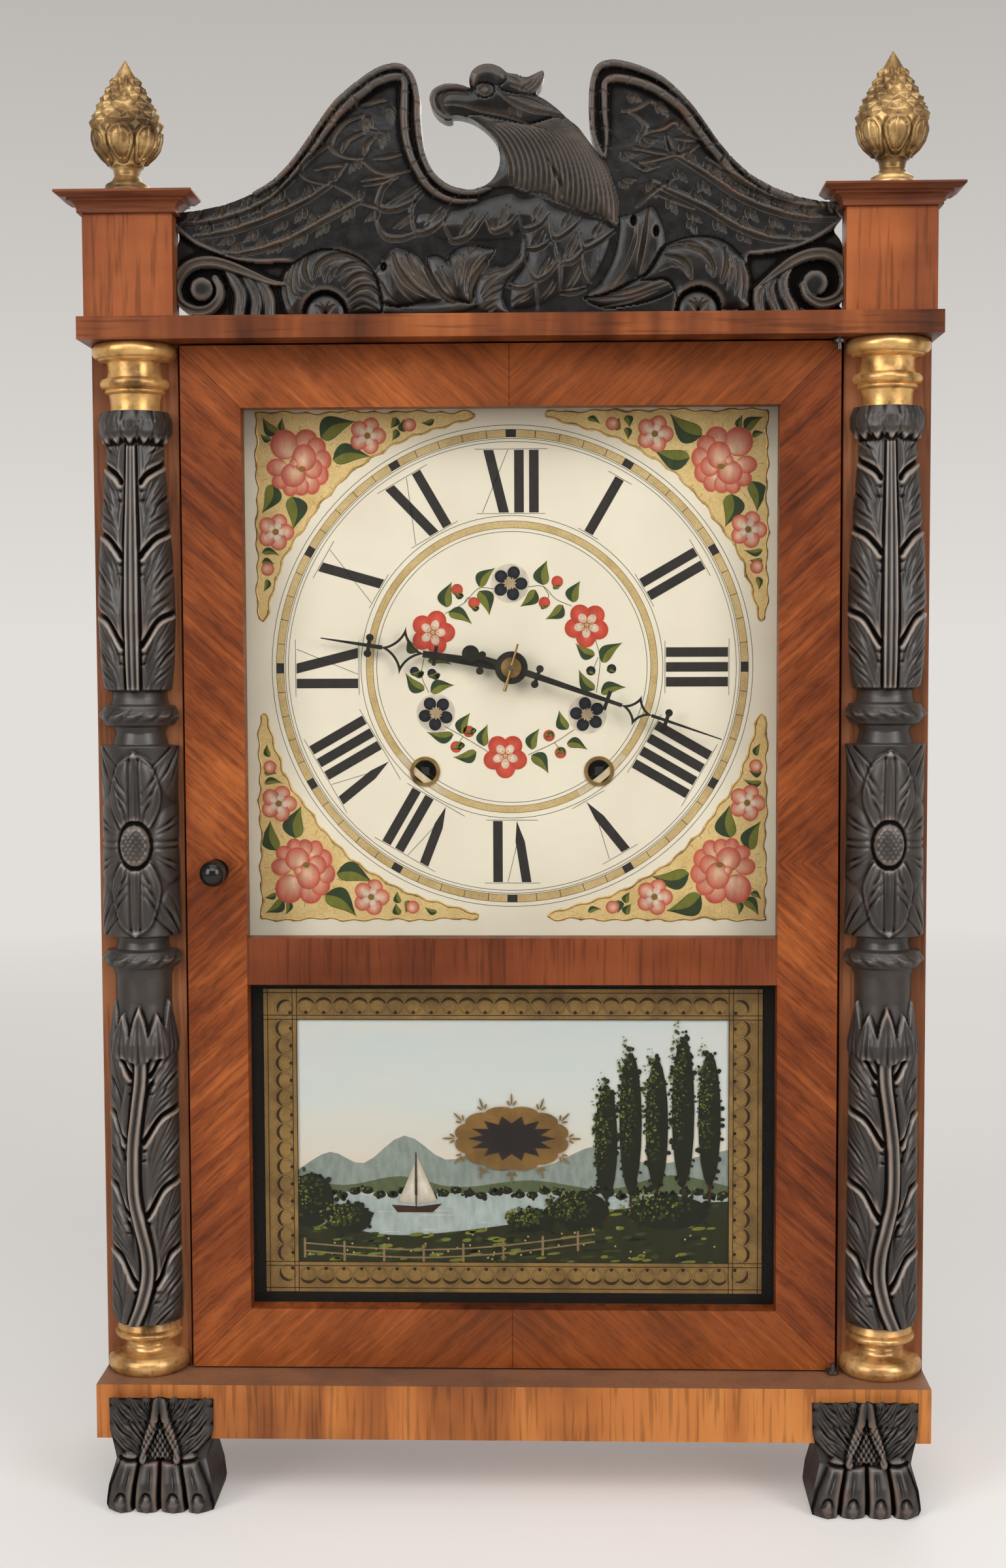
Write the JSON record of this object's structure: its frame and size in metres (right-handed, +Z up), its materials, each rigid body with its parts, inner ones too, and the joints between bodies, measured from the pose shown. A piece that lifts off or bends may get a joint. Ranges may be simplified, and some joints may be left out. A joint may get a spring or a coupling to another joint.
{
  "type": "shelf clock",
  "caption": "Weight driven wooden shelf clock with carved half columns, a carved bird splat, gilt finials, a glazed door over a painted dial and a painted tablet, on paw feet.",
  "frame": {"origin": "on the floor, in the middle of the clock's width and depth", "axes": "+Z up, +X to the right seen from the front, +Y to the back"},
  "size_m": [0.457, 0.156, 0.745],
  "materials": {
    "mahogany_veneer": "french polished mahogany veneer",
    "door_veneer": "french polished crotch mahogany veneer",
    "plain_wood": "aged unfinished pine",
    "ebonised_wood": "carved wood, ebonised and waxed",
    "gilt_wood": "turned and carved wood, aged gilding",
    "clear_glass": "old clear glass",
    "painted_glass": "glass painted on its back",
    "painted_dial": "painted wooden dial",
    "hinge_steel": "worn steel wire and plate",
    "knob_black": "black polished turned knob",
    "brass": "aged brass",
    "blued_steel": "blued steel",
    "movement_wood": "oak and cherry movement wood",
    "movement_steel": "drawn steel wire",
    "cast_iron": "black cast iron"
  },
  "bodies": {
    "case": {"base_board": "mahogany_veneer", "cornice_board": "mahogany_veneer", "case_side_left": "mahogany_veneer", "case_side_right": "mahogany_veneer", "case_stile_left": "mahogany_veneer", "case_stile_right": "mahogany_veneer", "pedestals": "mahogany_veneer", "pedestal_caps": "mahogany_veneer", "backboard": "plain_wood", "inner_battens": "plain_wood", "rear_feet": "plain_wood", "splat": "ebonised_wood", "column_left": "ebonised_wood", "column_right": "ebonised_wood", "paw_foot_left": "ebonised_wood", "paw_foot_right": "ebonised_wood", "finial_left": "gilt_wood", "finial_right": "gilt_wood", "column_capitals": "gilt_wood", "column_bases": "gilt_wood", "dial_board": "painted_dial", "hinge_pins": "hinge_steel", "winding_grommets": "brass", "front_plate": "movement_wood", "back_plate": "movement_wood", "plate_pillars": "movement_wood", "time_great_wheel": "movement_wood", "strike_great_wheel": "movement_wood", "second_wheel": "movement_wood", "centre_wheel": "movement_wood", "third_wheel": "movement_wood", "strike_pin_wheel": "movement_wood", "escape_wheel": "movement_steel", "strike_fly": "movement_steel", "bell": "cast_iron"},
    "door": {"door_stile_left": "door_veneer", "door_stile_right": "door_veneer", "door_top_rail": "door_veneer", "door_middle_rail": "door_veneer", "door_bottom_rail": "door_veneer", "dial_glass": "clear_glass", "tablet_glass": "painted_glass", "hinge_plates": "hinge_steel"},
    "latch": {"latch_knob": "knob_black", "latch_tongue": "brass"},
    "minute_hand": {"minute_hand": "blued_steel", "minute_arbor": "movement_steel", "hand_washer": "brass", "taper_pin": "brass"},
    "hour_hand": {"hour_hand": "blued_steel", "hour_wheel": "movement_wood"},
    "minute_wheel": {"minute_wheel": "movement_wood"},
    "pendulum": {"pendulum_rod": "movement_steel", "pendulum_bob": "brass"},
    "verge": {"verge": "movement_steel"},
    "time_weight": {"time_weight": "cast_iron"},
    "strike_weight": {"strike_weight": "cast_iron"},
    "time_drum": {"time_drum": "movement_wood"},
    "strike_drum": {"strike_drum": "movement_wood"},
    "hammer": {"hammer": "movement_steel"}
  },
  "joints": [
    {"name": "door_swing", "type": "hinge", "parent": "case", "child": "door", "pos_m": [0.1689, -0.0416, 0.334], "axis": [0, 0, 1], "range_deg": [0, 120]},
    {"name": "latch_turn", "type": "hinge", "parent": "door", "child": "latch", "pos_m": [-0.1548, -0.018, 0.331], "axis": [0, -1, 0], "range_deg": [0, 90]},
    {"name": "minute_turn", "type": "hinge", "parent": "case", "child": "minute_hand", "pos_m": [0, 0, 0.437], "axis": [0, 1, 0], "continuous": true},
    {"name": "hour_turn", "type": "hinge", "parent": "case", "child": "hour_hand", "pos_m": [0, 0, 0.437], "axis": [0, 1, 0], "continuous": true},
    {"name": "minute_wheel_turn", "type": "hinge", "parent": "case", "child": "minute_wheel", "pos_m": [0.028, 0, 0.437], "axis": [0, 1, 0], "continuous": true},
    {"name": "pendulum_swing", "type": "hinge", "parent": "case", "child": "pendulum", "pos_m": [0, 0.0036, 0.395], "axis": [0, 1, 0], "range_deg": [-4, 4]},
    {"name": "verge_rock", "type": "hinge", "parent": "case", "child": "verge", "pos_m": [0, 0.0116, 0.395], "axis": [0, 1, 0], "range_deg": [-5, 5]},
    {"name": "time_weight_lift", "type": "slide", "parent": "case", "child": "time_weight", "axis": [0, 0, 1], "range_m": [0, 0.3]},
    {"name": "strike_weight_lift", "type": "slide", "parent": "case", "child": "strike_weight", "axis": [0, 0, 1], "range_m": [0, 0.3]},
    {"name": "time_drum_turn", "type": "hinge", "parent": "case", "child": "time_drum", "pos_m": [0.0466, 0.04, 0.3815], "axis": [0, 1, 0], "range_deg": [0, 688]},
    {"name": "strike_drum_turn", "type": "hinge", "parent": "case", "child": "strike_drum", "pos_m": [-0.0466, 0.04, 0.3815], "axis": [0, 1, 0], "range_deg": [-688, 0]},
    {"name": "hammer_lift", "type": "hinge", "parent": "case", "child": "hammer", "pos_m": [-0.066, 0.04, 0.5], "axis": [0, -1, 0], "range_deg": [0, 14]}
  ],
  "couplings": [
    {"joint": "hour_turn", "follows": "minute_turn", "ratio": 0.083333},
    {"joint": "minute_wheel_turn", "follows": "minute_turn", "ratio": -0.33333},
    {"joint": "verge_rock", "follows": "pendulum_swing", "ratio": 1},
    {"joint": "time_drum_turn", "follows": "time_weight_lift", "rad_per_m": 40},
    {"joint": "strike_drum_turn", "follows": "strike_weight_lift", "rad_per_m": -40}
  ]
}
